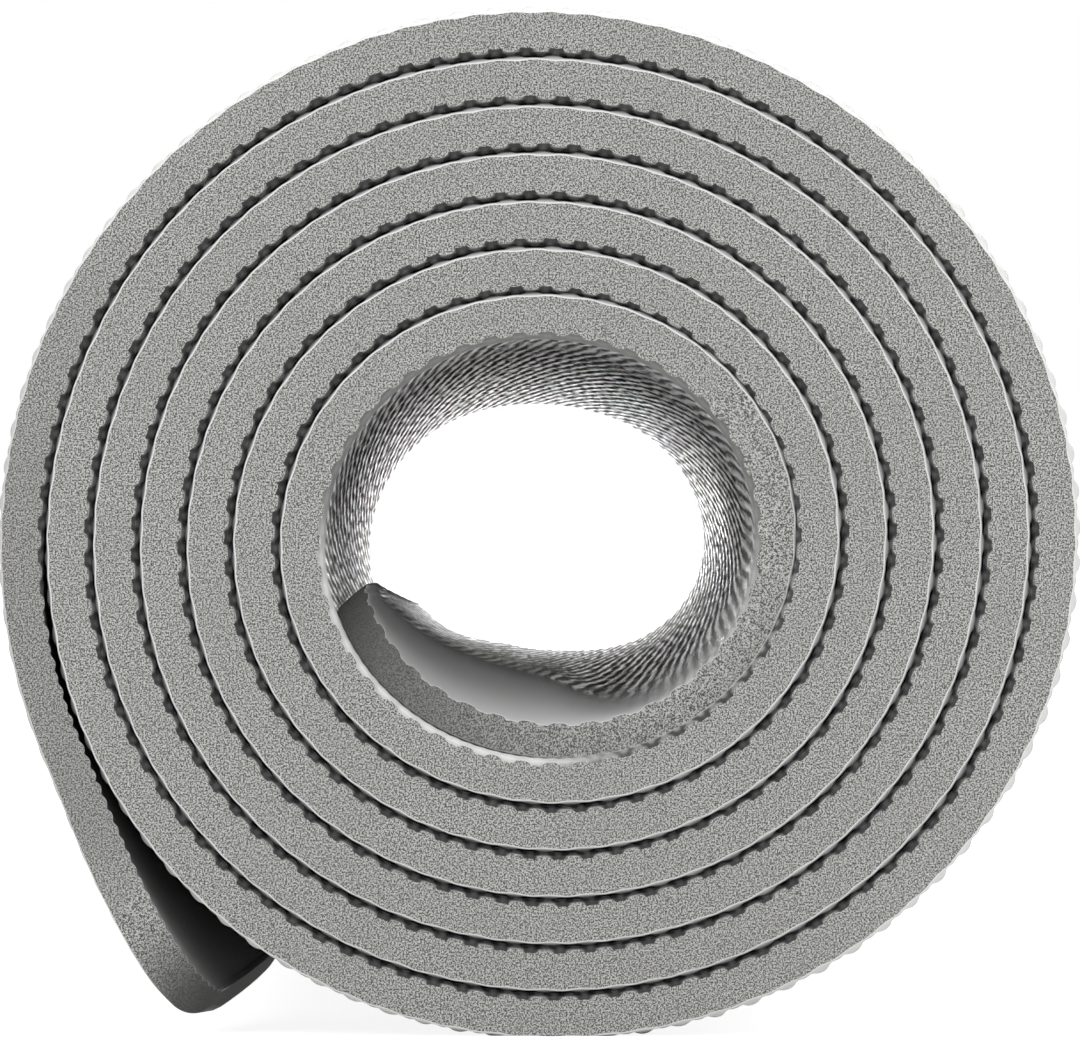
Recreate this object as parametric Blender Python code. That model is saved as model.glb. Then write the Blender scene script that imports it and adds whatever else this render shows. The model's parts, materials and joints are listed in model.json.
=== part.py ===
"""Yoga mat, rolled up and lying on its side.

The mat is one foam sheet of three layers: a practice ply, a woven scrim and a
base ply. It is wound in a spiral with the practice side inwards. The sheet is
divided along its length only where its free ends bend: the outer end lifts off
the roll in four steps, and the inner end curls into the bore.

Metres, +Z up. The roll's axis runs along Y and its near end faces -Y. The
origin is at the middle of the roll's foot, on the floor.
"""
import math

import bpy
import bmesh
from mathutils import Vector

# Sheet
MAT_LENGTH = 1.830
MAT_WIDTH = 0.610
PLY = 0.00195
SCRIM = 0.0003
PLY_CLEARANCE = 0.0003
SCRIM_INSET = 0.0015

# Winding
BORE_MID_RADIUS = 0.0221
TURN_GAP = 0.00052
TAIL_ANGLE = math.radians(237.0)
OVAL = 0.0008
FAR_SAG = 0.00125
FLOOR_FLAT_DEPTH = 0.0005

# Pieces of the sheet that bend, as turns about the roll's axis
TAIL_TURN = math.radians(45.0)
PANEL_TURN = math.radians(40.0)
PANEL_COUNT = 3
CORE_END_TURN = math.radians(93.0)
JOINT_GAP = 0.0004

# Near corner of the outer end, which stands off the roll
FLARE_HEIGHT = 0.0069
FLARE_REACH = 0.0334
FLARE_DEPTH = 0.190
FLARE_POWER = 1.5
TIP_TRIM = 0.0047

# Inner end, which springs straight behind the near edge
LIFT_RATIO = 0.9
LIFT_DEPTH = 0.070
LIFT_EASE_TURN = math.radians(14.0)

# Facets
STATIONS_PER_TURN = 36
FLARE_STEPS = 4
LIFT_STEP_SHARES = (0.0, 0.25, 0.5, 1.0, 2.0, 4.0)
MERGE_TURN = math.radians(3.0)

# Colours, roughness
FOAM_GREY = (0.36, 0.36, 0.34, 1.0)
BASE_GREY = (0.42, 0.42, 0.40, 1.0)
SCRIM_WHITE = (0.72, 0.72, 0.70, 1.0)
FOAM_ROUGHNESS = 0.85
SCRIM_ROUGHNESS = 0.95
JOINT_MARK = 0.02

# Derived sizes
FULL_TURN = 2.0 * math.pi
SHEET = 2.0 * PLY + SCRIM + 2.0 * PLY_CLEARANCE
PITCH = SHEET + TURN_GAP
OUTER_MID_RADIUS = math.sqrt(BORE_MID_RADIUS ** 2 + PITCH * MAT_LENGTH / math.pi)
TOTAL_TURN = FULL_TURN * (OUTER_MID_RADIUS - BORE_MID_RADIUS) / PITCH
FLOOR_ANGLE = math.radians(270.0)
FLOOR_TURN = TAIL_ANGLE - FLOOR_ANGLE + FULL_TURN
CORE_JOINT = TOTAL_TURN - CORE_END_TURN
LAYERS = (
    ("practice_ply", 0.0, PLY, 0.0, FOAM_GREY, FOAM_ROUGHNESS),
    ("scrim", PLY + PLY_CLEARANCE, SCRIM, SCRIM_INSET, SCRIM_WHITE, SCRIM_ROUGHNESS),
    ("base_ply", PLY + SCRIM + 2.0 * PLY_CLEARANCE, PLY, 0.0, BASE_GREY, FOAM_ROUGHNESS),
)


def mid_radius(turn):
    """Radius of the sheet's middle after this turn from the outer end."""
    return OUTER_MID_RADIUS - PITCH * turn / FULL_TURN


def oval(depth):
    """How far the section is wider and lower than round, at this depth."""
    return OVAL + FAR_SAG * depth / MAT_WIDTH


def axis_height(depth):
    """Height of the spiral's centre: the roll lies on a shallow flat."""
    lowest = mid_radius(FLOOR_TURN) + SHEET / 2.0 - oval(depth)
    return lowest - FLOOR_FLAT_DEPTH


def fade(depth):
    """1 at the near edge, 0 where the flare has died away."""
    return max(0.0, 1.0 - depth / FLARE_DEPTH) ** 2


def flare(turn, depth):
    """How far the outer end's near corner stands off the roll."""
    along = 1.0 - turn * OUTER_MID_RADIUS / FLARE_REACH
    return FLARE_HEIGHT * max(0.0, along) ** FLARE_POWER * fade(depth)


def lift(turn, depth):
    """How far the inner end springs off its arc towards its chord."""
    past = turn - CORE_JOINT
    if past <= 0.0:
        return 0.0
    half = CORE_END_TURN / 2.0
    arc = mid_radius(turn) - SHEET / 2.0
    chord = arc * max(0.0, 1.0 - math.cos(half) / math.cos(half - past))
    ease = min(1.0, past / LIFT_EASE_TURN)
    share = depth / LIFT_DEPTH
    swell = share * math.exp(1.0 - share)
    return LIFT_RATIO * chord * ease * swell


def sheet_point(turn, level, depth):
    """A point of the wound sheet: turn inwards, level from the practice side."""
    angle = TAIL_ANGLE - turn
    radius = mid_radius(turn) + level - SHEET / 2.0
    radius += oval(depth) * math.cos(2.0 * angle)
    radius += flare(turn, depth) - lift(turn, depth)
    height = axis_height(depth) + radius * math.sin(angle)
    return Vector((radius * math.cos(angle), depth - MAT_WIDTH / 2.0, max(0.0, height)))


def turn_of(length, turn):
    """The turn that this length along the sheet makes there."""
    return length / mid_radius(turn)


def tip_turn(depth):
    """Where the outer end is cut: its near corner is drawn back."""
    return turn_of(TIP_TRIM, 0.0) * fade(depth)


def stations(start, end):
    """Turns from start to end, with the edges of the floor flat among them."""
    foot = mid_radius(FLOOR_TURN) + SHEET / 2.0
    half_flat = math.acos(1.0 - FLOOR_FLAT_DEPTH / foot)
    marks = [start, end]
    for mark in (FLOOR_TURN - half_flat, FLOOR_TURN, FLOOR_TURN + half_flat):
        if start + MERGE_TURN < mark < end - MERGE_TURN:
            marks.append(mark)
    step = FULL_TURN / STATIONS_PER_TURN
    first = math.ceil(start / step)
    last = math.floor(end / step)
    steps = [count * step for count in range(first, last + 1)]
    clear = [turn for turn in steps if min(abs(turn - mark) for mark in marks) > MERGE_TURN]
    return sorted(marks + clear)


def depth_levels(kind):
    """Depths at which a piece has a row of points."""
    if kind == "tail":
        near = [FLARE_DEPTH * count / FLARE_STEPS for count in range(FLARE_STEPS + 1)]
    elif kind == "core_end":
        near = [LIFT_DEPTH * share for share in LIFT_STEP_SHARES]
    else:
        near = [0.0]
    return [depth for depth in near if depth < MAT_WIDTH] + [MAT_WIDTH]


def block(turns, low, thickness, inset, kind):
    """A closed slab of the sheet: points and faces of its six sides."""
    depths = depth_levels(kind)
    depths[0] += inset
    depths[-1] -= inset
    index = {}
    points = []

    def point(i, j, k):
        key = (i, j, k)
        if key not in index:
            turn = turns[i]
            if kind == "tail" and i == 0:
                turn += tip_turn(depths[k]) + turn_of(inset, 0.0)
            if kind == "core_end" and i == len(turns) - 1:
                turn -= turn_of(inset, TOTAL_TURN)
            index[key] = len(points)
            points.append(sheet_point(turn, low + j * thickness, depths[k]))
        return index[key]

    faces = []
    for i in range(len(turns) - 1):
        for k in range(len(depths) - 1):
            faces.append([point(i, 0, k), point(i + 1, 0, k),
                          point(i + 1, 0, k + 1), point(i, 0, k + 1)])
            faces.append([point(i, 1, k), point(i, 1, k + 1),
                          point(i + 1, 1, k + 1), point(i + 1, 1, k)])
        end = len(depths) - 1
        faces.append([point(i, 0, 0), point(i, 1, 0),
                      point(i + 1, 1, 0), point(i + 1, 0, 0)])
        faces.append([point(i, 0, end), point(i + 1, 0, end),
                      point(i + 1, 1, end), point(i, 1, end)])
    stop = len(turns) - 1
    for k in range(len(depths) - 1):
        faces.append([point(0, 0, k), point(0, 0, k + 1),
                      point(0, 1, k + 1), point(0, 1, k)])
        faces.append([point(stop, 0, k), point(stop, 1, k),
                      point(stop, 1, k + 1), point(stop, 0, k + 1)])
    return points, faces


def pieces():
    """Every body of the sheet: name, kind, start, end, joint turn and level."""
    gap = JOINT_GAP / 2.0
    joints = [TAIL_TURN + PANEL_TURN * count for count in range(PANEL_COUNT + 1)]
    found = [("tail", "tail", 0.0, joints[0] - turn_of(gap, joints[0]), joints[0], SHEET)]
    for count in range(PANEL_COUNT):
        start = joints[count] + turn_of(gap, joints[count])
        end = joints[count + 1] - turn_of(gap, joints[count + 1])
        name = "panel_%d" % (count + 1)
        found.append((name, "panel", start, end, joints[count + 1], SHEET))
    start = joints[-1] + turn_of(gap, joints[-1])
    end = CORE_JOINT - turn_of(gap, CORE_JOINT)
    found.append(("roll", "roll", start, end, None, None))
    start = CORE_JOINT + turn_of(gap, CORE_JOINT)
    found.append(("core_end", "core_end", start, TOTAL_TURN, CORE_JOINT, 0.0))
    return found


def least_turn_gap():
    """Least distance between the faces of neighbouring turns, on points."""
    step = FULL_TURN / STATIONS_PER_TURN
    least = PITCH
    for depth in (0.0, MAT_WIDTH / 2.0, MAT_WIDTH):
        inner = []
        outer = []
        turn = 0.0
        while turn < TOTAL_TURN:
            inner.append(sheet_point(turn, 0.0, depth))
            outer.append(sheet_point(turn, SHEET, depth))
            turn += step
        for count in range(len(inner) - STATIONS_PER_TURN - 1):
            here = inner[count]
            other = count + STATIONS_PER_TURN
            for near in (other - 1, other):
                if near < 0 or near + 1 >= len(outer):
                    continue
                edge = outer[near + 1] - outer[near]
                share = (here - outer[near]).dot(edge) / edge.length_squared
                foot = outer[near] + edge * min(1.0, max(0.0, share))
                least = min(least, (here - foot).length)
    return least


def foam_material(name, colour, roughness):
    material = bpy.data.materials.new(name)
    material.use_nodes = True
    shader = material.node_tree.nodes["Principled BSDF"]
    shader.inputs["Base Color"].default_value = colour
    shader.inputs["Roughness"].default_value = roughness
    shader.inputs["Metallic"].default_value = 0.0
    material.diffuse_color = colour
    return material


def add_solid(name, points, faces, shift, pivot, parent, colour, roughness):
    """One closed piece of the sheet, its origin on its joint's axis."""
    mesh = bpy.data.meshes.new(name)
    build = bmesh.new()
    verts = [build.verts.new(point + shift - pivot) for point in points]
    for face in faces:
        build.faces.new([verts[number] for number in face])
    bmesh.ops.triangulate(build, faces=build.faces[:])
    bmesh.ops.recalc_face_normals(build, faces=build.faces[:])
    build.to_mesh(mesh)
    build.free()
    mesh.materials.append(foam_material(name, colour, roughness))
    obj = bpy.data.objects.new(name, mesh)
    bpy.context.scene.collection.objects.link(obj)
    if parent is not None:
        obj.parent = parent
    else:
        obj.location = pivot
    return obj


def add_joint(name, place, parent, parent_place):
    """An empty on a joint's axis, which carries the pieces that it turns."""
    empty = bpy.data.objects.new(name, None)
    empty.empty_display_size = JOINT_MARK
    bpy.context.scene.collection.objects.link(empty)
    empty.parent = parent
    empty.location = place - parent_place
    return empty


def joint_line(turn, level, shift):
    """The two ends of the line that a piece turns about."""
    near = sheet_point(turn, level, 0.0) + shift
    far = sheet_point(turn, level, MAT_WIDTH) + shift
    return near, far


def main():
    for obj in list(bpy.data.objects):
        bpy.data.objects.remove(obj, do_unlink=True)

    solids = []
    for name, kind, start, end, joint, level in pieces():
        for layer, low, thickness, inset, colour, roughness in LAYERS:
            points, faces = block(stations(start, end), low, thickness, inset, kind)
            solids.append((name, name + "_" + layer, points, faces, colour, roughness))

    across = [point.x for solid in solids for point in solid[2]]
    shift = Vector((-(min(across) + max(across)) / 2.0, 0.0, 0.0))

    carriers = {"roll": (None, Vector())}
    order = ["roll"] + ["panel_%d" % count for count in range(PANEL_COUNT, 0, -1)] + ["tail"]
    parents = dict(zip(order[1:], order))
    parents["core_end"] = "roll"
    details = {piece[0]: piece for piece in pieces()}
    for name in order[1:] + ["core_end"]:
        near, far = joint_line(details[name][4], details[name][5], shift)
        place = (near + far) / 2.0
        parent, parent_place = carriers[parents[name]]
        carriers[name] = (add_joint(name + "_joint", place, parent, parent_place), place)
        axis = (far - near).normalized()
        print("joint", name, "at", tuple(round(c, 6) for c in place),
              "axis", tuple(round(c, 7) for c in axis))

    for body, name, points, faces, colour, roughness in solids:
        carrier, place = carriers[body]
        add_solid(name, points, faces, shift, place, carrier, colour, roughness)

    print("least gap between turns, mm:", round(least_turn_gap() * 1000.0, 3))
    print("spiral centre x", round(shift.x, 6), "height", round(axis_height(0.0), 6))
    print("total turn, degrees:", round(math.degrees(TOTAL_TURN), 2),
          "outer mid radius, mm:", round(OUTER_MID_RADIUS * 1000.0, 3))


main()
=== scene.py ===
import json
import math

import bpy
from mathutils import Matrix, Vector


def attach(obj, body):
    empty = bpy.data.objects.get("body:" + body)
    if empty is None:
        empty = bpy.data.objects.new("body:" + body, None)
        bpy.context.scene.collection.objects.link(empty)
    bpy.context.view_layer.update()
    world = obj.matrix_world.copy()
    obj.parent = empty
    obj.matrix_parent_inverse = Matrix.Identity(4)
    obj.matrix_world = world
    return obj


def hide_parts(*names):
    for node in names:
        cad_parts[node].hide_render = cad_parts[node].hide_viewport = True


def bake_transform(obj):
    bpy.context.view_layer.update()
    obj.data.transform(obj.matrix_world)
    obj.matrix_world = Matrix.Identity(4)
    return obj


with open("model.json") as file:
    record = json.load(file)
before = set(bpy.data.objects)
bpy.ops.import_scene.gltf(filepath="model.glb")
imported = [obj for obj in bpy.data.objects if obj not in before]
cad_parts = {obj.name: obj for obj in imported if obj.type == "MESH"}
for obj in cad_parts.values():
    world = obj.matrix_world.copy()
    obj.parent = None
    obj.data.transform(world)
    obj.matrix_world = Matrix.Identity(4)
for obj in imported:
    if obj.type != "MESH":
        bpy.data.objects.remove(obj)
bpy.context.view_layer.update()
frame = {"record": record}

# The rolled yoga mat, dressed. One node tree winds every length of the foam
# sheet by the roll's own formula, with its moulded pads and waves, so the
# pieces meet without a seam. Metres, +Z up, the near end faces -Y.

MM = 0.001

# Sheet, as the CAD has it
SHEET = 4.8 * MM
PLY = 1.95 * MM
SCRIM = 0.3 * MM
PITCH = 5.32 * MM
MAT_LENGTH = 1830 * MM
MAT_WIDTH = 610 * MM
BORE_MID_RADIUS = 22.1 * MM
OUTER_MID_RADIUS = math.sqrt(BORE_MID_RADIUS ** 2 + PITCH * MAT_LENGTH / math.pi)
FULL_TURN = 2 * math.pi
TOTAL_TURN = FULL_TURN * (OUTER_MID_RADIUS - BORE_MID_RADIUS) / PITCH
TAIL_ANGLE = math.radians(237)
OVAL = 0.8 * MM
FAR_SAG = 1.25 * MM
FLOOR_FLAT = 0.5 * MM
FLOOR_TURN = TAIL_ANGLE + math.radians(90)
TAIL_TURN = math.radians(45)
PANEL_TURN = math.radians(40)
CORE_END_TURN = math.radians(93)
CORE_JOINT = TOTAL_TURN - CORE_END_TURN

# The mat's four corners are rounded in plan
CORNER = 15 * MM
QUARTER = CORNER * math.pi / 2
CORNER_SPARE = QUARTER - CORNER
EDGE_LENGTH = MAT_LENGTH + 2 * CORNER_SPARE

# In what follows, a pair is the stretch over which a form or a look comes or
# goes. "Cut" is measured from the nearest cut edge, "length" from the mat's
# outer end, "core" from its inner end and "depth" from its near edge.

# The outer end stands off its neighbour at the near corner
FLARE_HEIGHT = 8.7 * MM
FLARE_REACH = 33.7 * MM
FLARE_POWER = 1.665
FLARE_DEPTH = 140 * MM
FLARE_FADE = 1.87
TIP_TRIM = 3.55 * MM
TRIM_REACH = 45 * MM

# The inner end is lifted behind the near edge, more gently at the far end
LIFT_HEIGHT = 4.6 * MM
LIFT_TURN = math.radians(108)
LIFT_EASE = (0, 0.37)
LIFT_RISE = 32 * MM
LIFT_RISE_POWER = 1.5
LIFT_FADE = (0, 0.6)
FAR_LIFT_HEIGHT = 2.6 * MM
FAR_LIFT_TURN = math.radians(160)
FAR_LIFT_COMES = (0, 0.55)
FAR_LIFT_GOES = (0.68, 0.97)
CORE_REACH = 2.4 * MM
RECESS = 5 * MM
RECESS_CORE = (15 * MM, 85 * MM)
FAR_TIGHT = 0.9 * MM
SIDE_TIGHT_SHARE = 0.45

# The mat's two ends: edges rounded when they were cut. The inner end was cut
# aslant, rests on the turn outside it and is pinched near its cut edge.
TIP_ROUND = 3.0 * MM
TIP_ROUND_DEPTH = (3 * MM, 40 * MM)
END_ROUND = 0.7 * MM
END_SLANT = 2.1 * MM
SLANT_REACH = 9 * MM
END_PINCH = 0.62 * MM
PINCH_CORE = (40 * MM, 95 * MM)
PINCH_DEPTH = 40 * MM
END_REST = 0.5 * MM
REST_CORE = (60 * MM, 140 * MM)
REST_DEPTH = (20 * MM, 60 * MM)

# Slack of the hand-rolled turns: lobes, height and angle of the first crest
SLACK = ((1, 0.20 * MM, 33), (2, 0.15 * MM, 123), (3, 0.25 * MM, 345))

# Practice side: rows of pads with a nub in the groove between them at a cut
# edge, which run into finer ropes behind it
PAD_PERIOD = 3.65 * MM
PAD_HEIGHT = 0.5 * MM
PAD_HALF_SHARE = 0.31
PAD_FLANK = 3
PAD_CROWN = 0.6
NUB_HALF_SHARE = 0.20
NUB_SHARE = 0.25
ROPES_PER_PAD = 2
ROPE_CUT = (0.25 * MM, 2.5 * MM)
ROPE_SHADE = 0.2
TAIL_ROPE_LENGTH = (30 * MM, 60 * MM)
TAIL_ROPE_BLUNT = 0.62
EDGE_CUT = (0.3 * MM, 1.0 * MM)
LIP_SHARE = 0.1
LIP_CUT = (3 * MM, 50 * MM)
PUFF_START = 0.8 * MM
PUFF_START_TRIM = 0.6 * MM
PUFF_REACH = 2.2 * MM
PRACTICE_SWELL = 0.40 * MM

# Base side: gentle waves, and lumps on the lips of the turns, pale from painted highlight
WAVE_PERIOD = 4.1 * MM
WAVE_HEIGHT = 0.40 * MM
WAVE_ROW = 4 * MM
WAVE_CUT = (0.3 * MM, 3 * MM)
EDGE_WAVE_SHARE = 0.35
BASE_SWELL = 0.12 * MM
BASE_SWELL_CUT = (0.4 * MM, 5 * MM)
TAIL_SWELL = 0.42 * MM
TAIL_SWELL_COMES = (0.5 * MM, 7 * MM)
TAIL_SWELL_GOES = (16 * MM, 40 * MM)
LUMP_SWELL = 0.36 * MM
LUMP_LEAST = 0.32
LUMP_WAVE = (-0.4, 0.9)
LUMP_COMES = (0.05 * MM, 1.4 * MM)
LUMP_GOES = (6 * MM, 14 * MM)
LUMP_ANGLE = math.radians(20)
LUMP_FACING = (-0.5, 0.3)
LUMP_BACK_SHARE = 0.35

# Both sides
ROW_SKEW = 27 / 610
RIM = 0.17 * MM
RIM_LOW_SHARE = 0.3
PLY_STEP_CUT = (1.0 * MM, 1.5 * MM)
WANDER_SCALE = 45
WANDER_SHARE = 0.5

# Noise: scale per metre, least value and spread
UNEVEN = (320, 0.75, 0.5)
RIM_UNEVEN = (240, 0.6, 0.8)
LUMP_UNEVEN = (150, 0.2, 1.4)

# The smooth patch at the near corner of each end
SMOOTH_LENGTH = 40 * MM
SMOOTH_DEPTH = 76 * MM
PATCH_POWER = 2.4
PATCH_FORM = (0.95, 3.2)
PATCH_LOOK = (0.85, 1.7)
PATCH_GROOVE = 0.7
PATCH_CREST_SHARE = 0.8
PATCH_WAVE = 0.5

# Where the bore's look starts, where the sheet faces up in it and is painted
# lighter, and where painted shade darkens the cut foam and skins near the ends
BORE_CORE = (186 * MM, 204 * MM)
UPTURNED_OUTER = (138 * MM, 152 * MM)
UPTURNED_INNER = (50 * MM, 72 * MM)
SHADE_CORE = (2 * MM, 42 * MM)
SHADE_DEPTH = (18 * MM, 60 * MM)
SHADE_LENGTH = (4 * MM, 14 * MM)
TAIL_SHADE_COMES = (15 * MM, 26 * MM)
TAIL_SHADE_GOES = (48 * MM, 110 * MM)
TAIL_SHADE_SHARE = 0.3

# Mesh
STATION = 0.33 * MM
SCRIM_STATION = 6 * STATION
CROWDED = 2.7
CROWD_REACH = 3
EDGE_ZONE = 8 * MM
EDGE_COLUMNS = 10
EDGE_POWER = 1.8
DEEP_START = 5 * MM
TAIL_COLUMNS = 60
PANEL_COLUMNS = 40
BORE_COLUMNS = 74

# Photograph, in its own 1080 x 1043 pixels, at the near end's plane
PHOTO_WIDE = 1080
PX = 0.11275 * MM
SPIRAL_PX = (547.3, 538.4)
VANISH_PX = (538, 527)
MIDDLE_PX = (540, 521.5)
CAMERA_AWAY = 2.163
SENSOR_WIDE = 36
VIEW_END = 100

# Room
ROOM_LEVEL = 0.5
FLOOR_REACH = 30.0
FLOOR_GREY = 0.8
FLOOR_GLOW = 0.88
# Name, place, aim, width, height, watts
LIGHTS = (
    ("front softbox", (-0.15, -1.6, 0.95), (0, -0.3, 0.06), 1.8, 1.0, 13),
    ("top softbox", (0.3, 0.0, 1.6), (0, 0, 0.06), 1.4, 1.6, 14),
    ("back softbox", (0.1, 1.5, 0.35), (0, 0.3, 0.06), 0.9, 0.6, 6),
    ("backdrop glow", (0, 1.4, 0.045), (0, 0.3, 0.058), 0.11, 0.09, 1.35),
    ("side glow", (-0.13, 1.4, 0.04), (0, 0.3, 0.058), 0.11, 0.07, 0.36),
)


class Value:
    """A socket in a node tree. Arithmetic on it adds Math nodes."""

    def __init__(self, graph, socket):
        self.graph = graph
        self.socket = socket

    def __add__(self, other):
        return self.graph.math("ADD", self, other)

    def __radd__(self, other):
        return self.graph.math("ADD", other, self)

    def __sub__(self, other):
        return self.graph.math("SUBTRACT", self, other)

    def __rsub__(self, other):
        return self.graph.math("SUBTRACT", other, self)

    def __mul__(self, other):
        return self.graph.math("MULTIPLY", self, other)

    def __rmul__(self, other):
        return self.graph.math("MULTIPLY", other, self)

    def __truediv__(self, other):
        return self.graph.math("DIVIDE", self, other)

    def __pow__(self, other):
        return self.graph.math("POWER", self, other)

    def __abs__(self):
        return self.graph.math("ABSOLUTE", self)


class Graph:
    """Builds one node tree."""

    def __init__(self, tree):
        self.tree = tree

    def add(self, kind, settings=None, values=None):
        """A node: its settings first, then its sockets' values or links."""
        node = self.tree.nodes.new(kind)
        for name, setting in (settings or {}).items():
            setattr(node, name, setting)
        for name, value in (values or {}).items():
            self.feed(node.inputs[name], value)
        return node

    def feed(self, socket, value):
        """Links a socket to a value, or sets it to a constant."""
        if isinstance(value, Value):
            self.tree.links.new(value.socket, socket)
        else:
            socket.default_value = value

    def value(self, kind, settings=None, values=None, out=0):
        """The same as add, for the one output that is wanted."""
        return Value(self, self.add(kind, settings, values).outputs[out])

    def math(self, operation, *terms):
        return self.value("ShaderNodeMath", {"operation": operation}, dict(enumerate(terms)))

    def low(self, a, b):
        return self.math("MINIMUM", a, b)

    def high(self, a, b):
        return self.math("MAXIMUM", a, b)

    def between(self, factor, a, b):
        """Number a at factor 0, number b at factor 1."""
        return a + factor * (b - a)

    def smooth(self, value, start, end):
        """0 before start, 1 after end, eased between."""
        return self.value(
            "ShaderNodeMapRange",
            {"interpolation_type": "SMOOTHSTEP"},
            {"Value": value, "From Min": start, "From Max": end},
        )

    def fall(self, value, start, end):
        """1 before start, 0 after end, eased between."""
        return 1 - self.smooth(value, start, end)

    def fade(self, value, reach):
        """1 at 0, straight down to 0 at this reach."""
        return self.high(1 - value / reach, 0)

    def noise(self, vector, scale, detail=2.0, roughness=0.5):
        return self.value(
            "ShaderNodeTexNoise",
            {"noise_dimensions": "3D"},
            {"Vector": vector, "Scale": scale, "Detail": detail, "Roughness": roughness},
        )

    def uneven(self, vector, scale, least, spread):
        return least + self.noise(vector, scale) * spread

    def vector(self, x, y, z):
        return self.value("ShaderNodeCombineXYZ", None, {"X": x, "Y": y, "Z": z})

    def split(self, vector):
        node = self.add("ShaderNodeSeparateXYZ", None, {"Vector": vector})
        return [Value(self, node.outputs[axis]) for axis in "XYZ"]

    def attribute(self, name, out="Fac"):
        """What the winding tree stored under this name, in a material."""
        return self.value("ShaderNodeAttribute", {"attribute_name": name}, out=out)

    def mix(self, factor, a, b):
        """Colour a at factor 0, colour b at factor 1."""
        node = self.tree.nodes.new("ShaderNodeMix")
        node.data_type = "RGBA"
        factor_socket, a_socket, b_socket, colour_out = 0, 6, 7, 2
        self.feed(node.inputs[factor_socket], factor)
        self.feed(node.inputs[a_socket], a)
        self.feed(node.inputs[b_socket], b)
        return Value(self, node.outputs[colour_out])


def length_at(turn):
    """Length of sheet from the outer end to this turn."""
    return OUTER_MID_RADIUS * turn - PITCH * turn ** 2 / (2 * FULL_TURN)


def axis_height(depth):
    """Height of the spiral's centre above the floor."""
    radius = OUTER_MID_RADIUS - PITCH * FLOOR_TURN / FULL_TURN + SHEET / 2
    return radius - OVAL - FAR_SAG * depth / MAT_WIDTH - FLOOR_FLAT


# The frame centres the CAD's box on X. The first mount, the flat on the floor,
# lies right under the spiral's centre, so its X is the axis's.
AXIS_X = frame["record"]["mounts"][0]["pos_m"][0]


def sheet_place(turn, level, depth):
    """A point of the wound sheet away from its lifted ends."""
    angle = TAIL_ANGLE - turn
    radius = OUTER_MID_RADIUS - PITCH * turn / FULL_TURN + level - SHEET / 2
    radius += (OVAL + FAR_SAG * depth / MAT_WIDTH) * math.cos(2 * angle)
    height = axis_height(depth) + radius * math.sin(angle)
    return Vector((AXIS_X + radius * math.cos(angle), depth - MAT_WIDTH / 2, height))


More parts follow.
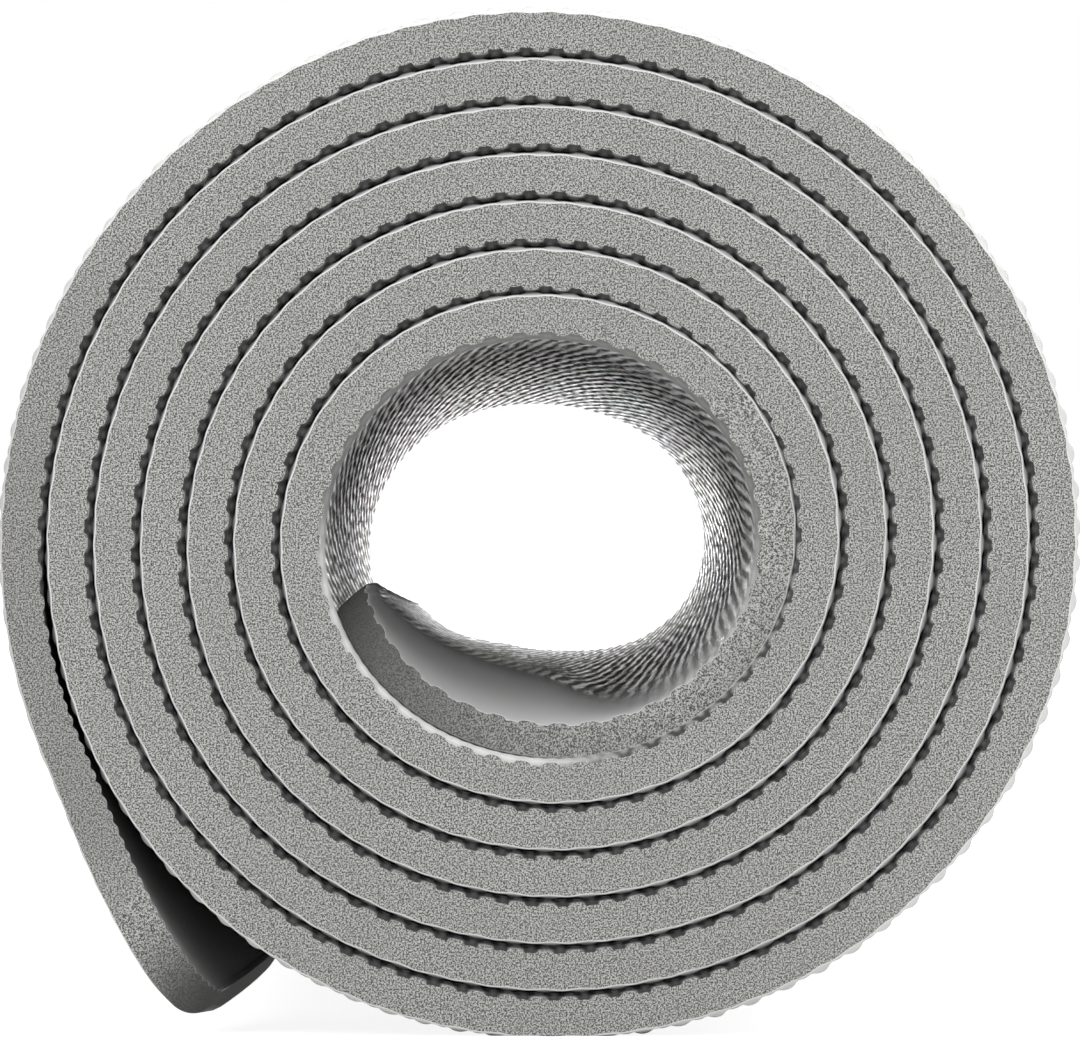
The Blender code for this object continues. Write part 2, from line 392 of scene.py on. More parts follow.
def winding_tree():
    """Node tree that makes a closed slab of foam and winds it into the roll."""
    tree = bpy.data.node_groups.new("wound foam", "GeometryNodeTree")
    face = tree.interface
    sizes = {}

    def size(name, kind, default):
        made = face.new_socket(name, in_out="INPUT", socket_type=kind)
        if default is not None:
            made.default_value = default
        sizes[name] = made.identifier

    size("Start", "NodeSocketFloat", 0.0)
    size("End", "NodeSocketFloat", MAT_LENGTH)
    size("Stations", "NodeSocketInt", 100)
    size("Columns", "NodeSocketInt", 14)
    size("Low Level", "NodeSocketFloat", 0.0)
    size("High Level", "NodeSocketFloat", SHEET)
    size("Low Edge Level", "NodeSocketFloat", 0.0)
    size("High Edge Level", "NodeSocketFloat", SHEET)
    size("Pads", "NodeSocketFloat", 0.0)
    size("Waves", "NodeSocketFloat", 0.0)
    size("Deep Relief", "NodeSocketFloat", 0.0)
    size("Edge Inset", "NodeSocketFloat", 0.0)
    size("Tip Trim", "NodeSocketFloat", 0.0)
    size("Sheet", "NodeSocketFloat", SHEET)
    size("Pitch", "NodeSocketFloat", PITCH)
    size("Outer Radius", "NodeSocketFloat", OUTER_MID_RADIUS)
    size("Width", "NodeSocketFloat", MAT_WIDTH)
    size("Length", "NodeSocketFloat", MAT_LENGTH)
    size("Pad Period", "NodeSocketFloat", PAD_PERIOD)
    size("Pad Height", "NodeSocketFloat", PAD_HEIGHT)
    size("Wave Period", "NodeSocketFloat", WAVE_PERIOD)
    size("Wave Height", "NodeSocketFloat", WAVE_HEIGHT)
    size("Cut Material", "NodeSocketMaterial", None)
    size("Skin Material", "NodeSocketMaterial", None)
    face.new_socket("Geometry", in_out="OUTPUT", socket_type="NodeSocketGeometry")

    g = Graph(tree)
    given = g.add("NodeGroupInput")

    def get(name):
        return Value(g, given.outputs[name])

    def spiral_at(length):
        """Radius of the sheet's middle and turn at this length of sheet."""
        radius = g.math("SQRT", get("Outer Radius") ** 2 - get("Pitch") * length / math.pi)
        return radius, (get("Outer Radius") - radius) * FULL_TURN / get("Pitch")

    def rounding(radius, from_cut):
        """How far an edge of this radius lies below its face."""
        left = g.high(radius - from_cut, 0)
        return radius - g.math("SQRT", g.high(radius * radius - left * left, 0))

    # A slab of unit size, whose two wide faces are marked as skin
    columns = get("Columns")
    slab = g.value("GeometryNodeMeshCube", None, {
        "Size": (1, 1, 1), "Vertices X": get("Stations"), "Vertices Y": columns, "Vertices Z": 2,
    }, "Mesh")
    across, along, through = g.split(g.value("GeometryNodeInputPosition"))
    normal = g.split(g.value("GeometryNodeInputNormal"))[2]
    skin_side = g.math("GREATER_THAN", abs(normal), 0.5)
    marked = g.value("GeometryNodeStoreNamedAttribute", {"data_type": "BOOLEAN", "domain": "FACE"},
                     {"Geometry": slab, "Name": "skin", "Value": skin_side})

    # Depth: close rows behind both cut edges, wide ones between
    row = g.math("ROUND", (along + 0.5) * (columns - 1))
    last = columns - 1
    from_edge = g.low(row, last - row)
    zone = (from_edge / EDGE_COLUMNS) ** EDGE_POWER * EDGE_ZONE
    middle = (row - EDGE_COLUMNS) / (last - 2 * EDGE_COLUMNS)
    spread = EDGE_ZONE + middle * (get("Width") - 2 * EDGE_ZONE)
    at_near = g.math("LESS_THAN", row, EDGE_COLUMNS)
    at_far = g.math("GREATER_THAN", row, last - EDGE_COLUMNS)
    in_middle = (1 - at_near) * (1 - at_far)
    depth = at_near * zone + in_middle * spread + at_far * (get("Width") - zone)
    inset = get("Edge Inset")
    depth = g.low(g.high(depth, inset), get("Width") - inset)

    # Stations follow the mat's edge round its corners. They crowd towards a
    # piece's two ends, so that seams between pieces don't show in the shading.
    final = get("Stations") - 1
    station = (across + 0.5) * final
    from_first = g.math("EXPONENT", 0 - station / CROWD_REACH)
    from_final = g.math("EXPONENT", (station - final) / CROWD_REACH)
    share = (station - CROWDED * (1 - from_first + from_final)) / (final - 2 * CROWDED)
    share = g.low(g.high(share, 0), 1)
    run = g.between(share, get("Start"), get("End"))
    left = get("Length") + 2 * CORNER_SPARE - run
    first_arc = g.low(run, QUARTER) / CORNER
    last_arc = g.low(left, QUARTER) / CORNER
    from_start = CORNER * (1 - g.math("COSINE", first_arc)) + g.high(run - QUARTER, 0)
    from_end = CORNER * (1 - g.math("COSINE", last_arc)) + g.high(left - QUARTER, 0)
    length = from_start + get("Length") - from_end - (run - CORNER_SPARE)
    length = g.low(g.high(length, inset), get("Length") - inset)
    corner_depth = CORNER * (2 - g.math("SINE", first_arc) - g.math("SINE", last_arc))
    depth = corner_depth + depth * (1 - 2 * corner_depth / get("Width"))

    # Distances from the mat's ends and from the nearest cut edge
    end_cut = g.low(length, get("Length") - length)
    side_cut = g.low(depth, get("Width") - depth)
    corner_x = g.high(CORNER - end_cut, 0)
    corner_y = g.high(CORNER - side_cut, 0)
    cut = CORNER - g.math("SQRT", corner_x * corner_x + corner_y * corner_y)
    core_cut = get("Length") - length
    bore = g.fall(core_cut, *BORE_CORE)
    upturned = g.high(g.smooth(core_cut, *UPTURNED_OUTER), g.fall(core_cut, *UPTURNED_INNER))
    upturned = upturned * bore

    # Both sides' relief is uneven, and gives way to the smooth patches
    place = g.vector(run, depth, 0)
    wander = g.noise(place, WANDER_SCALE) - 0.5
    uneven = g.uneven(place, *UNEVEN)
    moulded = run + depth * ROW_SKEW + wander * get("Pad Period") * WANDER_SHARE
    patch = (end_cut / SMOOTH_LENGTH) ** PATCH_POWER + (depth / SMOOTH_DEPTH) ** PATCH_POWER
    smooth_end = g.fall(patch, *PATCH_FORM)
    plain = g.fall(patch, *PATCH_LOOK)
    deep = g.smooth(cut, DEEP_START, EDGE_ZONE)
    show = 1 - deep * (1 - get("Deep Relief"))

    # Practice side: how deep its grooves are between the pads and ropes
    pad_phase = g.math("FRACT", moulded / get("Pad Period"))
    off_pad = abs(pad_phase - 0.5)
    tail_edge = g.fall(length, *TAIL_ROPE_LENGTH)
    grow = g.high(g.smooth(cut, *ROPE_CUT), tail_edge)
    pad = g.high(1 - (off_pad / PAD_HALF_SHARE) ** PAD_FLANK, 0) ** PAD_CROWN
    nub = g.high(1 - ((0.5 - off_pad) / NUB_HALF_SHARE) ** 2, 0) * NUB_SHARE
    rope_turn = moulded * (ROPES_PER_PAD * FULL_TURN / PAD_PERIOD)
    ridge = 0.5 + 0.5 * g.math("COSINE", rope_turn)
    ridge = ridge ** (1 - TAIL_ROPE_BLUNT * tail_edge)
    crest = g.between(grow, g.high(pad, nub), ridge)
    at_edge = g.fall(cut, *EDGE_CUT)
    lip = g.between(g.smooth(cut, *LIP_CUT), LIP_SHARE, 1)
    lip = g.between(lip, at_edge, 1)
    lip = g.between(tail_edge, lip, 1)
    hollow = (1 - crest) * uneven * show
    patch_groove = PATCH_GROOVE - at_edge * crest * PATCH_CREST_SHARE
    groove = g.between(smooth_end, hollow * lip, patch_groove)
    puff_start = PUFF_START - bore * PUFF_START_TRIM
    puffed = g.smooth(cut, puff_start, puff_start + PUFF_REACH) * (1 - smooth_end)

    # Base side: its waves, the lumps on the lips and the swelling behind them
    row_turn = math.pi / WAVE_ROW * g.low(cut, 2 * WAVE_ROW)
    wave_turn = g.math("COSINE", FULL_TURN * moulded / get("Wave Period"))
    wave_share = g.between(g.smooth(cut, *WAVE_CUT), EDGE_WAVE_SHARE, 1)
    wave = (0.5 - 0.5 * wave_turn * wave_share * g.math("COSINE", row_turn)) * uneven * show
    wave = g.between(smooth_end, wave, PATCH_WAVE)
    lump = g.smooth(0 - wave_turn, *LUMP_WAVE) * g.uneven(place, *LUMP_UNEVEN)
    lump = g.between(lump, LUMP_LEAST, 1)
    lump = lump * g.smooth(cut, *LUMP_COMES) * g.fall(cut, *LUMP_GOES)
    plain_turn = spiral_at(length)[1]
    facing = g.math("COSINE", TAIL_ANGLE - LUMP_ANGLE - plain_turn)
    lump = lump * g.between(g.smooth(facing, *LUMP_FACING), LUMP_BACK_SHARE, 1)
    swollen = BASE_SWELL * g.smooth(cut, *BASE_SWELL_CUT) + LUMP_SWELL * lump
    tail_bulge = g.smooth(length, *TAIL_SWELL_COMES) * g.fall(length, *TAIL_SWELL_GOES)
    swollen = swollen + TAIL_SWELL * tail_bulge

    # Rounded edges, and the pinch of the inner end
    rim = rounding(RIM * g.uneven(place, *RIM_UNEVEN), cut)
    tip_round = g.between(g.fall(depth, *TIP_ROUND_DEPTH), END_ROUND, TIP_ROUND)
    end_round = rounding(tip_round, length) + rounding(END_ROUND, core_cut)
    pinch = END_PINCH * g.fall(core_cut, *PINCH_CORE) * g.fade(side_cut, PINCH_DEPTH)

    # Levels through the sheet's thickness
    inside = g.smooth(cut, *PLY_STEP_CUT)
    low_level = g.between(inside, get("Low Edge Level"), get("Low Level"))
    low_level = low_level + get("Pads") * (
        groove * get("Pad Height") + rim * RIM_LOW_SHARE - puffed * PRACTICE_SWELL + pinch)
    high_level = g.between(inside, get("High Edge Level"), get("High Level"))
    high_level = high_level - get("Waves") * (
        wave * get("Wave Height") + rim - swollen + end_round)
    level = g.between(through + 0.5, low_level, high_level)

    # The ends' shifts along and across the sheet
    recess = RECESS * g.fall(core_cut, *RECESS_CORE)
    depth = depth + recess * (1 - depth / get("Width"))
    flare_fade = g.fade(depth, FLARE_DEPTH) ** FLARE_FADE
    deep_share = depth / get("Width")
    core_shift = CORE_REACH * g.fade(core_cut, TRIM_REACH) * (1 - 2 * deep_share)
    length = length + get("Tip Trim") * flare_fade * g.fade(length, TRIM_REACH)
    slant = END_SLANT * level / get("Sheet") * g.fade(core_cut, SLANT_REACH)
    length = length + core_shift - slant

    # The wound section: oval, a little slack, sagging away from the near end
    radius, turn = spiral_at(length)
    angle = TAIL_ANGLE - turn
    oval = OVAL + FAR_SAG * deep_share
    slack = 0
    for lobes, height, crest_angle in SLACK:
        slack = slack + height * g.math("COSINE", lobes * (angle - math.radians(crest_angle)))
    slack = slack * (1 - turn / TOTAL_TURN)
    flare = FLARE_HEIGHT * g.fade(length, FLARE_REACH) ** FLARE_POWER * flare_fade

    # The inner end's lift is an arch, 4 x (1 - x), eased at its outer foot
    past = g.low(g.high((turn - (TOTAL_TURN - LIFT_TURN)) / LIFT_TURN, 0), 1)
    bow = LIFT_HEIGHT * 4 * past * (1 - past) * g.smooth(past, *LIFT_EASE)
    far_past = g.high((turn - (TOTAL_TURN - FAR_LIFT_TURN)) / FAR_LIFT_TURN, 0)
    far_bow = g.smooth(far_past, *FAR_LIFT_COMES) * g.fall(far_past, *FAR_LIFT_GOES)
    bow = g.between(g.smooth(deep_share, *LIFT_FADE), bow, far_bow * FAR_LIFT_HEIGHT)
    rise = 1 - g.math("EXPONENT", 0 - (depth / LIFT_RISE) ** LIFT_RISE_POWER)
    at_sides = g.high(g.math("COSINE", 2 * angle), 0)
    tight = FAR_TIGHT * (1 + SIDE_TIGHT_SHARE * at_sides)
    lift = bow * rise + tight * deep_share * (turn / TOTAL_TURN) ** 2
    rest = END_REST * g.fall(core_cut, *REST_CORE)
    lift = lift - rest * g.fall(depth, *REST_DEPTH)
    reach = radius + level - get("Sheet") / 2 + oval * g.math("COSINE", 2 * angle)
    reach = reach + slack + flare - lift
    x = AXIS_X + reach * g.math("COSINE", angle)
    z = axis_height(0) - FAR_SAG * deep_share + reach * g.math("SINE", angle)
    wound = g.vector(x, depth - get("Width") / 2, g.high(z, 0))

    # What the materials read
    # Painted shade on the cut faces and skins near the ends: at the inner end's near corner, at the
    # outer end's tip and, fainter, in a band behind it
    core_shade = g.fall(core_cut, *SHADE_CORE) * g.fall(depth, *SHADE_DEPTH)
    tail_shade = g.smooth(length, *TAIL_SHADE_COMES) * g.fall(length, *TAIL_SHADE_GOES)
    corner = g.high(g.fall(length, *SHADE_LENGTH), tail_shade * TAIL_SHADE_SHARE)
    corner = g.high(corner, core_shade)
    toned = g.between(g.between(bore, smooth_end, 1), hollow, groove)
    noted = marked
    for name, kind, value in (
        ("groove", "FLOAT", toned), ("wave", "FLOAT", wave), ("smooth", "FLOAT", plain),
        ("bore", "FLOAT", bore), ("upturned", "FLOAT", upturned),
        ("corner", "FLOAT", corner), ("sheet", "FLOAT_VECTOR", g.vector(moulded, depth, level)),
    ):
        noted = g.value("GeometryNodeStoreNamedAttribute", {"data_type": kind, "domain": "POINT"},
                        {"Geometry": noted, "Name": name, "Value": value})

    placed = g.value("GeometryNodeSetPosition", None, {"Geometry": noted, "Position": wound})
    is_skin = g.value("GeometryNodeInputNamedAttribute", {"data_type": "BOOLEAN"}, {"Name": "skin"})
    shaded = g.value("GeometryNodeSetShadeSmooth", {"domain": "FACE"},
                     {"Geometry": placed, "Shade Smooth": is_skin})
    whole = g.value("GeometryNodeRealizeInstances", None, {"Geometry": shaded})
    cut_faced = g.value("GeometryNodeSetMaterial", None,
                        {"Geometry": whole, "Material": get("Cut Material")})
    finished = g.value("GeometryNodeSetMaterial", None, {
        "Geometry": cut_faced, "Selection": is_skin, "Material": get("Skin Material")})
    g.add("NodeGroupOutput", None, {"Geometry": finished})
    return tree, sizes


def surface(name):
    """A material, its graph and its shader."""
    material = bpy.data.materials.new(name)
    material.use_nodes = True
    graph = Graph(material.node_tree)
    return material, graph, material.node_tree.nodes["Principled BSDF"]


def link(graph, node, **sockets):
    """Links values to sockets, whose names have _ in place of a space."""
    for name, value in sockets.items():
        graph.tree.links.new(value.socket, node.inputs[name.replace("_", " ")])


def grey(level, warm=0.96):
    """A grey, with this share of it left in blue."""
    return (level, level, level * warm, 1)


def cut_foam():
    """Cut closed-cell foam: fine dark pores and pale cell walls, with painted shade near the mat's
    ends.
    """
    material, g, shader = surface("cut foam")
    fine_scale, cell_scale, pore_scale, broad_scale = 7600, 5000, 4300, 90
    speckle_tones, pore_tones, broad_tones = (0.41, 0.59), (0.64, 0.71), (0.3, 0.7)
    fine_share, pore_share, broad_share, end_shade_share = 0.45, 0.7, 0.12, 0.9
    pore_grey, wall_grey = grey(0.08), grey(0.59)
    deep_pore_grey, broad_grey, end_shade_grey = grey(0.06), grey(0.25), grey(0.10)

    place = g.value("ShaderNodeTexCoord", out="Object")
    fine = g.noise(place, fine_scale, 1.0, 0.5)
    cells = g.noise(place, cell_scale, 1.0, 0.5)
    pores = g.smooth(g.noise(place, pore_scale, 1.0, 0.4), *pore_tones)
    broad = g.smooth(g.noise(place, broad_scale, 2.0), *broad_tones)
    corner = g.attribute("corner")
    speckle = fine * fine_share + cells * (1 - fine_share)
    colour = g.mix(g.smooth(speckle, *speckle_tones), pore_grey, wall_grey)
    colour = g.mix(pores * pore_share, colour, deep_pore_grey)
    colour = g.mix(broad * broad_share, colour, broad_grey)
    # Painted shade near the mat's ends
    colour = g.mix(corner * end_shade_share, colour, end_shade_grey)
    bump = g.value("ShaderNodeBump", None, {
        "Strength": 0.4, "Distance": 0.08 * MM, "Height": speckle * (1 - corner)})
    link(g, shader, Base_Color=colour, Normal=bump)
    shader.inputs["Roughness"].default_value = 0.9
    shader.inputs["Specular IOR Level"].default_value = 0.25
    return material


def practice_skin():
    """The side wound inwards: painted highlight on its ropes' crests and painted shade in its
    grooves.
    """
    material, g, shader = surface("practice skin")
    grain_scale = 3600
    strand_scale_across, strand_scale_along = 1200, 40
    lip_crest_grey, rope_crest_grey = grey(0.33, 0.98), grey(0.95, 0.99)
    trough_grey, upturned_trough_grey = grey(0.09, 1), grey(0.42, 1)
    turn_trough_grey, turn_inner_trough_grey = grey(0.06, 1), grey(0.2, 1)
    patch_dark, patch_pale, patch_lip = grey(0.36, 1), grey(0.62, 1), grey(0.9, 1)
    end_shade_grey, end_shade_share = grey(0.13, 1), 0.35
    lip_depth, patch_lip_depth = (1.5 * MM, 4 * MM), (2 * MM, 34 * MM)
    lip_tones, bore_lip_ease = (0.15, 0.8), 0.6
    rope_tones, furrow_share, strand_share = (0.68, 1.2), 0.5, 1.3
    near_depth, near_tone_share, near_shade_share = (10 * MM, 330 * MM), 0.8, 0.24
    crest_rough, trough_roughens, patch_rough = 0.34, 0.52, 0.7

    place = g.value("ShaderNodeTexCoord", out="Object")
    groove = g.attribute("groove")
    smooth_end = g.attribute("smooth")
    bore = g.attribute("bore")
    upturned = g.attribute("upturned")
    corner = g.attribute("corner")
    length, depth = g.split(g.attribute("sheet", "Vector"))[:2]
    side_cut = g.low(depth, MAT_WIDTH - depth)
    grain = g.noise(place, grain_scale, 2.0, 0.6)
    strand_place = g.vector(length * strand_scale_across, depth * strand_scale_along, 0)
    strands = g.noise(strand_place, 1.0, 2.0, 0.6)

    # The tone of the pads at the lip, and of the ropes behind it, with painted
    # shade where they face down near the front
    inner = g.smooth(side_cut, *lip_depth)
    lip_tone = g.smooth(groove, *lip_tones) * (1 - bore * bore_lip_ease)
    rope = length * (ROPES_PER_PAD / PAD_PERIOD) - ROPE_SHADE
    furrow = 1 - abs(g.math("FRACT", rope) - 0.5) * 2
    rope_tone = g.smooth(furrow * furrow_share + strands * strand_share, *rope_tones)
    behind = g.smooth(depth, *near_depth)
    near_shade = (1 - behind) * (1 - upturned) * near_shade_share
    rope_tone = rope_tone * g.between(behind, near_tone_share, 1) + near_shade
    tone = g.between(inner, lip_tone, rope_tone)

    # Crests: the foam's own grey at the lip, painted highlight on the ropes behind it. Troughs:
    # painted shade in the grooves and in the gaps between turns. Both are painted lighter where the
    # sheet faces up in the bore
    crest = g.mix(g.high(upturned, inner), lip_crest_grey, rope_crest_grey)
    trough = g.mix(upturned, trough_grey, upturned_trough_grey)
    trough = g.mix(bore, g.mix(inner, turn_trough_grey, turn_inner_trough_grey), trough)
    colour = g.mix(tone, crest, trough)
    sheen = g.mix(grain, patch_dark, patch_pale)
    # Painted highlight on the lip of the smooth patch where the sheet faces up
    sheen = g.mix(upturned * g.fall(side_cut, *patch_lip_depth), sheen, patch_lip)
    colour = g.mix(smooth_end, colour, sheen)
    # Painted shade near the mat's ends
    colour = g.mix(corner * end_shade_share, colour, end_shade_grey)
    raised = strands * 0.4 + (1 - furrow * furrow) * 0.5 * inner
    bump = g.value("ShaderNodeBump", None, {
        "Strength": 0.5, "Distance": 0.15 * MM,
        "Height": grain * 0.3 + raised * (1 - smooth_end)})
    rough = g.between(smooth_end, crest_rough + tone * trough_roughens, patch_rough)
    link(g, shader, Base_Color=colour, Normal=bump, Roughness=rough)
    return material


def base_skin():
    """The side wound outwards: gentle waves, with painted highlight along the cut edges."""
    material, g, shader = surface("base skin")
    grain_scale = 2300
    crest_grey, edge_crest_grey = grey(0.46, 0.98), grey(0.84, 0.99)
    trough_grey, edge_trough_grey = grey(0.27, 0.98), grey(0.48, 0.98)
    end_shade_grey, end_shade_share = grey(0.12, 1), 0.95
    tones, grain_share, crate_share = (0.0, 1.3), 0.6, 0.2
    tone_depth, pale_depth = (0.5 * MM, 6 * MM), (1 * MM, 8 * MM)

    place = g.value("ShaderNodeTexCoord", out="Object")
    wave = g.attribute("wave")
    corner = g.attribute("corner")
    length, depth = g.split(g.attribute("sheet", "Vector"))[:2]
    side_cut = g.low(depth, MAT_WIDTH - depth)
    grain = g.noise(place, grain_scale, 3.0, 0.6)
    crate = g.math("COSINE", FULL_TURN / WAVE_PERIOD * length)
    crate = crate * g.math("COSINE", math.pi / WAVE_ROW * depth)
    tone = g.smooth(wave + (grain - 0.5) * grain_share - crate * crate_share, *tones)
    tone = tone * g.smooth(side_cut, *tone_depth)
    # Painted highlight along the cut edges
    pale = g.fall(side_cut, *pale_depth)
    crest = g.mix(pale, crest_grey, edge_crest_grey)
    trough = g.mix(pale, trough_grey, edge_trough_grey)
    # Painted shade near the mat's ends
    colour = g.mix(corner * end_shade_share, g.mix(tone, crest, trough), end_shade_grey)
    bump = g.value("ShaderNodeBump", None, {
        "Strength": 0.5, "Distance": 0.2 * MM, "Height": grain * 0.4 + crate * 0.6})
    link(g, shader, Base_Color=colour, Normal=bump)
    shader.inputs["Roughness"].default_value = 0.75
    shader.inputs["Specular IOR Level"].default_value = 0.3
    return material


def scrim_weave():
    """Open woven net, hidden between the plies."""
    material, g, shader = surface("scrim weave")
    threads_per_metre = 3000
    along = g.split(g.value("ShaderNodeTexCoord", out="Object"))[1]
    thread = g.math("SINE", along * threads_per_metre) * 0.5 + 0.5
    link(g, shader, Base_Color=g.mix(thread, grey(0.6), grey(0.8)))
    shader.inputs["Roughness"].default_value = 0.95
    return material


def make_piece(tree, sizes, name, values):
    """Runs the tree on a new object and keeps the plain mesh that it makes."""
    holder = bpy.data.objects.new(name, bpy.data.meshes.new(name))
    bpy.context.scene.collection.objects.link(holder)
    winding = holder.modifiers.new("winding", "NODES")
    winding.node_group = tree
    for size, value in values.items():
        winding[sizes[size]] = value
    graph = bpy.context.evaluated_depsgraph_get()
    mesh = bpy.data.meshes.new_from_object(holder.evaluated_get(graph))
    mesh.name = name
    holder.modifiers.clear()
    holder.data = mesh
    return holder


tree, sizes = winding_tree()
CUT = cut_foam()
PRACTICE = practice_skin()
BASE = base_skin()
WEAVE = scrim_weave()

# The plies reach half the sheet's thickness at its cut edges, where they meet,
# and leave a slot for the scrim inside
SLOT_PLAY = 0.1 * MM
LAYERS = {
    "practice": {
        "Low Level": 0.0, "Low Edge Level": 0.0,
        "High Level": PLY + SLOT_PLAY, "High Edge Level": SHEET / 2,
        "Pads": 1.0, "Cut Material": CUT, "Skin Material": PRACTICE,
    },
    "scrim": {
        "Low Level": (SHEET - SCRIM) / 2, "Low Edge Level": (SHEET - SCRIM) / 2,
        "High Level": (SHEET + SCRIM) / 2, "High Edge Level": (SHEET + SCRIM) / 2,
        "Edge Inset": 2.4 * MM, "Cut Material": WEAVE, "Skin Material": WEAVE,
    },
    "base": {
        "Low Level": SHEET - PLY - SLOT_PLAY, "Low Edge Level": SHEET / 2,
        "High Level": SHEET, "High Edge Level": SHEET,
        "Waves": 1.0, "Cut Material": CUT, "Skin Material": BASE,
    },
}

# Sheet on each side of a joint; the cuts between pieces fall between these stretches
JOINT_BEFORE = 9 * MM
JOINT_AFTER = 6 * MM
CURL_BEFORE = 26 * MM

# Where the sheet is divided, as lengths along its edge
PANEL_3_PAST_JOINT = 20 * MM
CORE_BEFORE_JOINT = 12 * MM
BORE_TURNS = 1.1
joint_turns = [TAIL_TURN + PANEL_TURN * count for count in range(4)]
joint_lengths = [length_at(turn) + CORNER_SPARE for turn in joint_turns]
cuts = [0.0]
for here, following in zip(joint_lengths, joint_lengths[1:]):
    cuts.append((here + JOINT_AFTER + following - JOINT_BEFORE) / 2)
cuts.append(joint_lengths[-1] + PANEL_3_PAST_JOINT)
core_cut = length_at(CORE_JOINT) + CORNER_SPARE - CORE_BEFORE_JOINT
bore_cut = length_at(CORE_JOINT - FULL_TURN * BORE_TURNS) + CORNER_SPARE
outer_cut = length_at(TAIL_TURN + FULL_TURN) + CORNER_SPARE
middle_cut = (outer_cut + bore_cut) / 2

# Name, bodies to blend or None, start, end, columns between the edge zones,
# deep pads, deep waves, CAD body
PIECES = [
    ("tail", ("panel_1", "tail"), cuts[0], cuts[1], TAIL_COLUMNS, 1, 1, "tail"),
    ("panel_1", ("panel_2", "panel_1"), cuts[1], cuts[2], PANEL_COLUMNS, 1, 1, "panel_1"),
    ("panel_2", ("panel_3", "panel_2"), cuts[2], cuts[3], PANEL_COLUMNS, 1, 1, "panel_2"),
    ("panel_3", ("roll", "panel_3"), cuts[3], cuts[4], PANEL_COLUMNS, 1, 1, "panel_3"),
    ("roll_outer", None, cuts[4], outer_cut, PANEL_COLUMNS, 0, 1, "roll"),
    ("roll_middle", None, outer_cut, middle_cut, 1, 0, 0, "roll"),
    ("roll_inner", None, middle_cut, bore_cut, 1, 0, 0, "roll"),
    ("roll_bore", None, bore_cut, core_cut, BORE_COLUMNS, 1, 0, "roll"),
    ("core_end", ("roll", "core_end"), core_cut, EDGE_LENGTH, BORE_COLUMNS, 1, 1, "core_end"),
]

# Turn and level of each joint, and 1 where the moving length runs inwards
# from it, -1 where it runs outwards
JOINT_LINES = {
    "tail": (joint_turns[0], SHEET, -1), "panel_1": (joint_turns[1], SHEET, -1),
    "panel_2": (joint_turns[2], SHEET, -1), "panel_3": (joint_turns[3], SHEET, -1),
    "core_end": (CORE_JOINT, 0.0, 1),
}
NODE_LAYERS = {"practice": "practice_ply", "scrim": "scrim", "base": "base_ply"}

for name, pair, start, end, columns, deep_pads, deep_waves, body in PIECES:
    for layer, shape in LAYERS.items():
        deep = {"practice": deep_pads, "base": deep_waves, "scrim": 0}[layer]
        middle = columns if deep or name in ("tail", "core_end") else 1
        rows = 2 * EDGE_COLUMNS + 1 + middle
        step = SCRIM_STATION if layer == "scrim" else STATION
        values = dict(shape)
        values.update({
            "Start": start, "End": end, "Columns": rows,
            "Stations": max(2, round((end - start) / step)),
            "Deep Relief": float(deep),
            "Tip Trim": TIP_TRIM if name == "tail" else 0.0,
        })
        piece = make_piece(tree, sizes, name + "_" + layer + "_foam", values)
        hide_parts(body + "_" + NODE_LAYERS[layer])
        if pair is None:
            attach(piece, "roll")
        else:
            turn, level, way = JOINT_LINES[name]
            before = JOINT_BEFORE if way < 0 else CURL_BEFORE
            radius = OUTER_MID_RADIUS - PITCH * turn / FULL_TURN
            pivot = sheet_place(turn, level, MAT_WIDTH / 2)
            ahead = sheet_place(turn + 1 * MM / radius, level, MAT_WIDTH / 2)
            inward = (ahead - pivot).normalized()
            pivot - inward * way * JOINT_AFTER
            pivot + inward * way * before
            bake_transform(piece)


def area_light(name, place, aim, wide, high, power):
    """A rectangle of white light that the camera doesn't see."""
    data = bpy.data.lights.new(name, "AREA")
    data.shape = "RECTANGLE"
    data.size = wide
    data.size_y = high
    data.energy = power
    lamp = bpy.data.objects.new(name, data)
    bpy.context.scene.collection.objects.link(lamp)
    lamp.location = place
    lamp.rotation_euler = (Vector(aim) - Vector(place)).to_track_quat("-Z", "Y").to_euler()
    lamp.visible_camera = False


def brightest(g, *rays):
    """1 where the ray is of one of these kinds, in the tree of g."""
    path = g.add("ShaderNodeLightPath")
    seen = Value(g, path.outputs[rays[0]])
    for ray in rays[1:]:
        seen = g.high(seen, Value(g, path.outputs[ray]))
    return seen


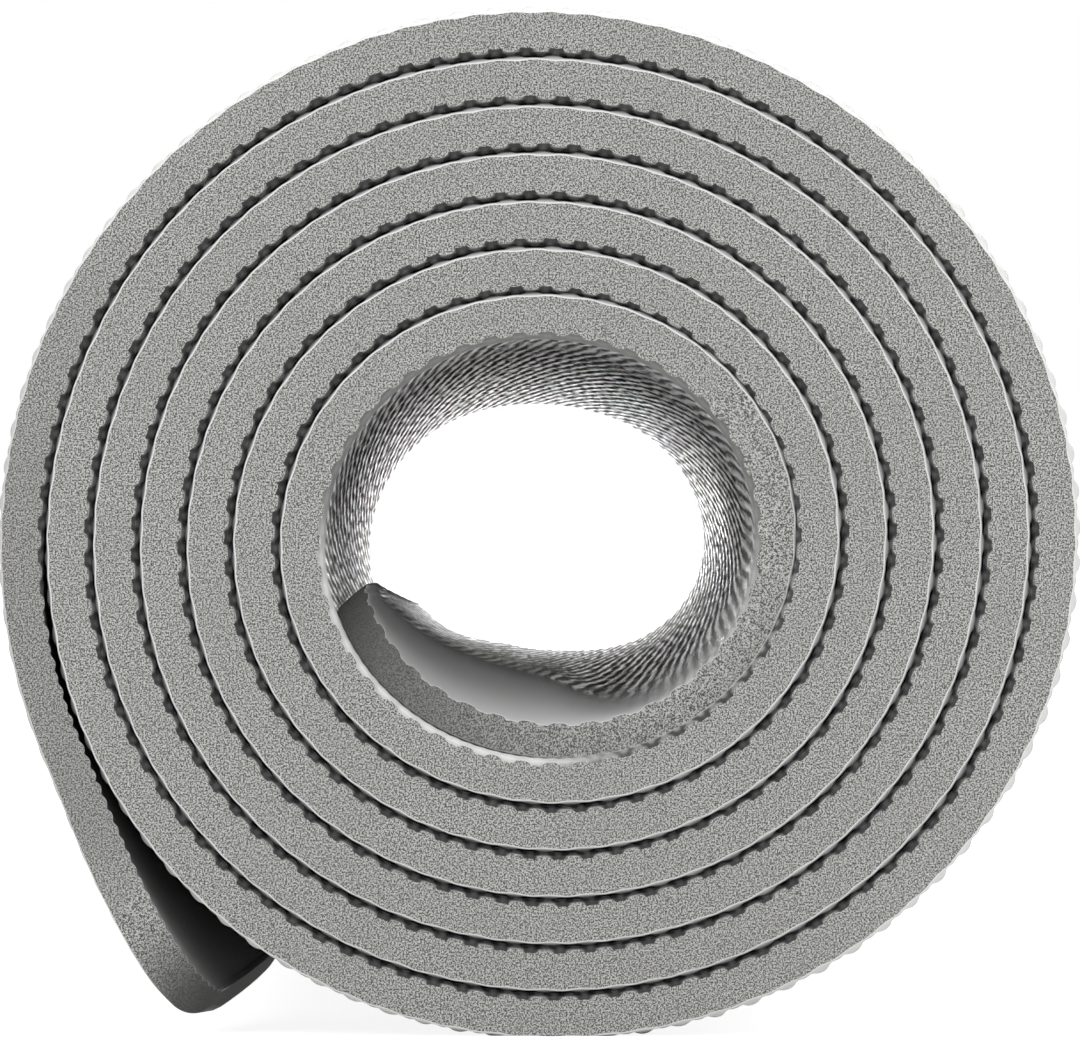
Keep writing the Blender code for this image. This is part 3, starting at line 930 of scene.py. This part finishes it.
def studio():
    """White floor and surroundings, soft light from the front, above and behind."""
    world = bpy.data.worlds.new("white room")
    bpy.context.scene.world = world
    world.use_nodes = True
    g = Graph(world.node_tree)
    back = world.node_tree.nodes["Background"]
    seen = brightest(g, "Is Camera Ray", "Is Glossy Ray", "Is Transmission Ray")
    back.inputs["Color"].default_value = (1, 1, 1, 1)
    g.tree.links.new((ROOM_LEVEL + seen * (1 - ROOM_LEVEL)).socket, back.inputs["Strength"])

    mesh = bpy.data.meshes.new("floor")
    reach = FLOOR_REACH
    mesh.from_pydata([(-reach, -reach, 0), (reach, -reach, 0), (reach, reach, 0),
                      (-reach, reach, 0)], [], [(0, 1, 2, 3)])
    floor = bpy.data.objects.new("floor", mesh)
    bpy.context.scene.collection.objects.link(floor)
    material, g, shader = surface("white floor")
    shader.inputs["Base Color"].default_value = (FLOOR_GREY, FLOOR_GREY, FLOOR_GREY, 1)
    shader.inputs["Roughness"].default_value = 1.0
    shader.inputs["Specular IOR Level"].default_value = 0.0
    seen = brightest(g, "Is Camera Ray", "Is Glossy Ray")
    glow = g.value("ShaderNodeEmission", None, {
        "Color": (1, 1, 1, 1), "Strength": seen * FLOOR_GLOW})
    lit = g.add("ShaderNodeAddShader")
    g.tree.links.new(shader.outputs[0], lit.inputs[0])
    g.tree.links.new(glow.socket, lit.inputs[1])
    g.tree.links.new(lit.outputs[0], material.node_tree.nodes["Material Output"].inputs[0])
    mesh.materials.append(material)

    for light in LIGHTS:
        area_light(*light)


def camera():
    """Looks along the roll's axis from where the photograph was taken."""
    data = bpy.data.cameras.new("camera")
    data.sensor_width = SENSOR_WIDE
    data.lens = data.sensor_width * CAMERA_AWAY / (PHOTO_WIDE * PX)
    data.shift_x = (MIDDLE_PX[0] - VANISH_PX[0]) / PHOTO_WIDE
    data.shift_y = (VANISH_PX[1] - MIDDLE_PX[1]) / PHOTO_WIDE
    data.clip_end = VIEW_END
    eye = bpy.data.objects.new("camera", data)
    bpy.context.scene.collection.objects.link(eye)
    eye.location = (
        AXIS_X + (VANISH_PX[0] - SPIRAL_PX[0]) * PX,
        -MAT_WIDTH / 2 - CAMERA_AWAY,
        axis_height(0) + (SPIRAL_PX[1] - VANISH_PX[1]) * PX,
    )
    eye.rotation_euler = (math.radians(90), 0, 0)
    bpy.context.scene.camera = eye


studio()
camera()
bpy.context.scene.view_settings.view_transform = "Standard"
